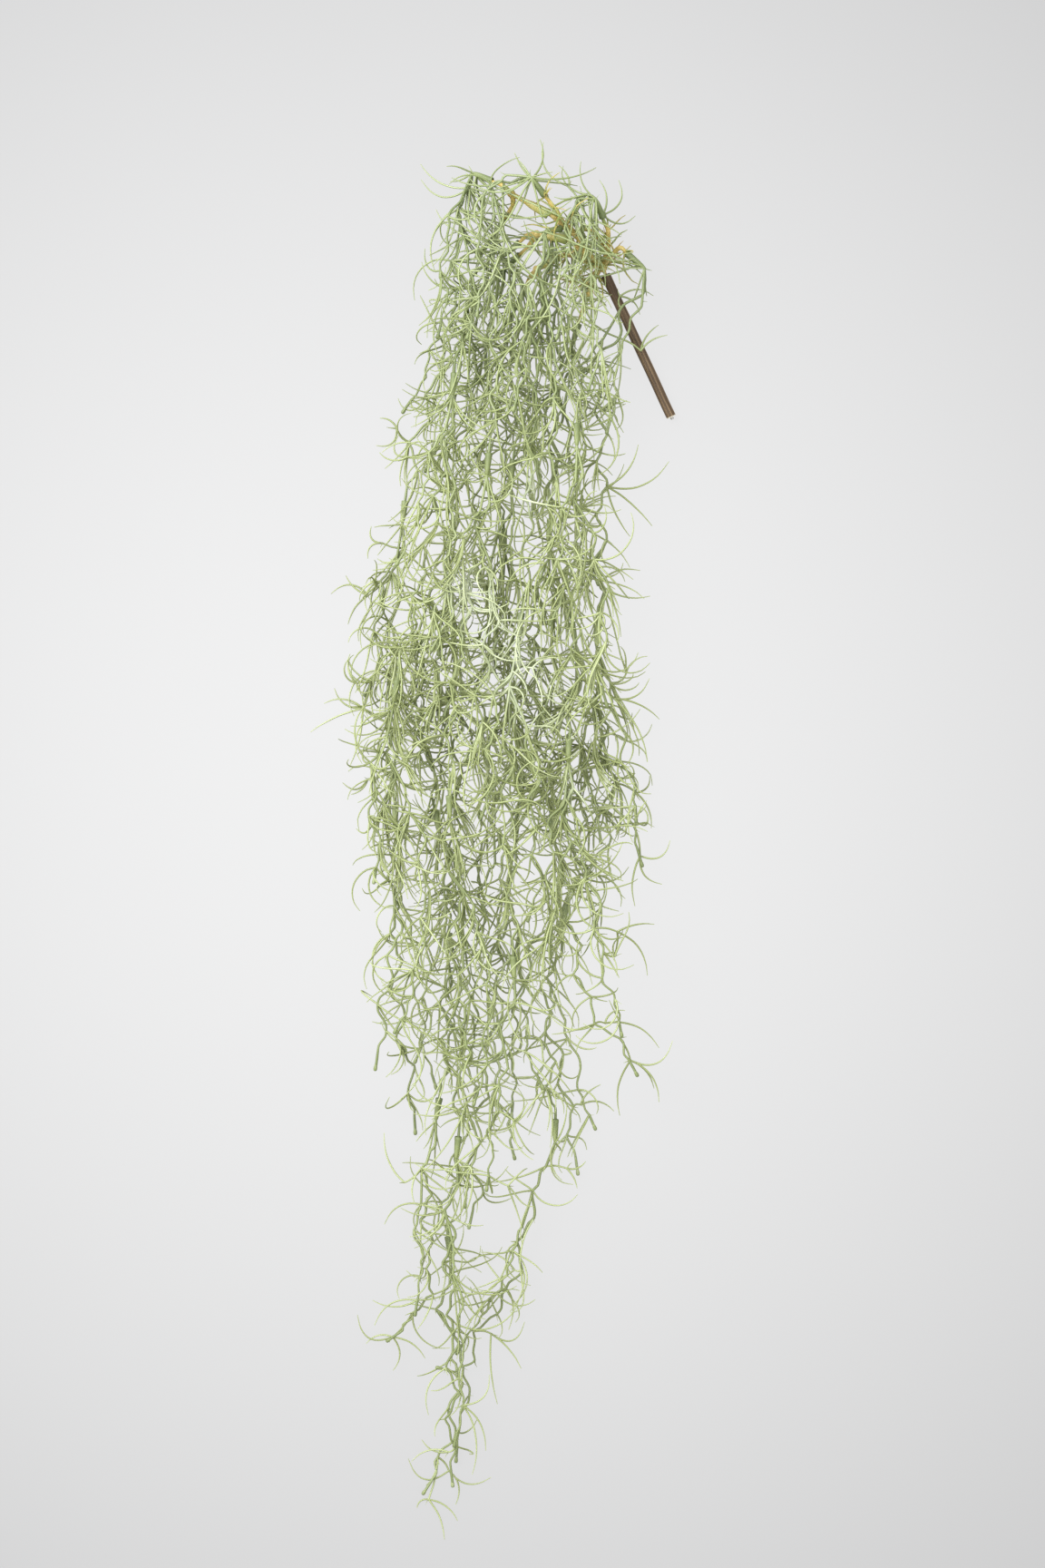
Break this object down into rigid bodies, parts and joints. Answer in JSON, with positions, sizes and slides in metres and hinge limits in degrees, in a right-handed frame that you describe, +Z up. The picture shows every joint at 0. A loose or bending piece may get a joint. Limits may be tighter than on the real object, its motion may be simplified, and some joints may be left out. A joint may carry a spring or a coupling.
{
  "type": "artificial spanish moss bunch",
  "caption": "Artificial spanish moss bunch lying flat: trailing plug-together moulded sprays with wavy ribs and long curled fingers, on mustard arms and a short brown stem.",
  "frame": {"origin": "centre of the bunch's box at the surface it lies on", "axes": "+Y along the bunch from the trailing tips to the stem end, +Z up from the surface it lies on"},
  "size_m": [0.2168, 0.826, 0.0653],
  "materials": {
    "moss_green": "soft moulded plastic, satin",
    "mustard_arms": "moulded plastic, satin",
    "brown_stem": "grooved plastic sheath, matt",
    "steel_core": "cut steel wire"
  },
  "bodies": {
    "root": {"stem_sheath": "brown_stem", "stem_core_wire": "steel_core", "branch_frame": "mustard_arms", "fork_upper": "mustard_arms", "fork_middle": "mustard_arms", "fork_lower": "mustard_arms", "spray_01_1": "moss_green", "spray_01_2": "moss_green", "spray_01_3": "moss_green", "spray_02_1": "moss_green", "spray_02_2": "moss_green", "spray_02_3": "moss_green", "spray_02_4": "moss_green", "spray_03_1": "moss_green", "spray_03_2": "moss_green", "spray_03_3": "moss_green", "spray_04_1": "moss_green", "spray_04_2": "moss_green", "spray_04_3": "moss_green", "spray_05_1": "moss_green", "spray_05_2": "moss_green", "spray_05_3": "moss_green", "spray_05_4": "moss_green", "spray_06_1": "moss_green", "spray_06_2": "moss_green", "spray_06_3": "moss_green", "spray_07_1": "moss_green", "spray_07_2": "moss_green", "spray_07_3": "moss_green", "spray_07_4": "moss_green", "spray_08_1": "moss_green", "spray_08_2": "moss_green", "spray_09_1": "moss_green", "spray_09_2": "moss_green", "spray_09_3": "moss_green", "spray_10_1": "moss_green", "spray_10_2": "moss_green", "spray_10_3": "moss_green", "spray_10_4": "moss_green", "spray_11_1": "moss_green", "spray_11_2": "moss_green", "spray_11_3": "moss_green", "spray_12_1": "moss_green", "spray_12_2": "moss_green", "spray_12_3": "moss_green"}
  },
  "joints": []
}
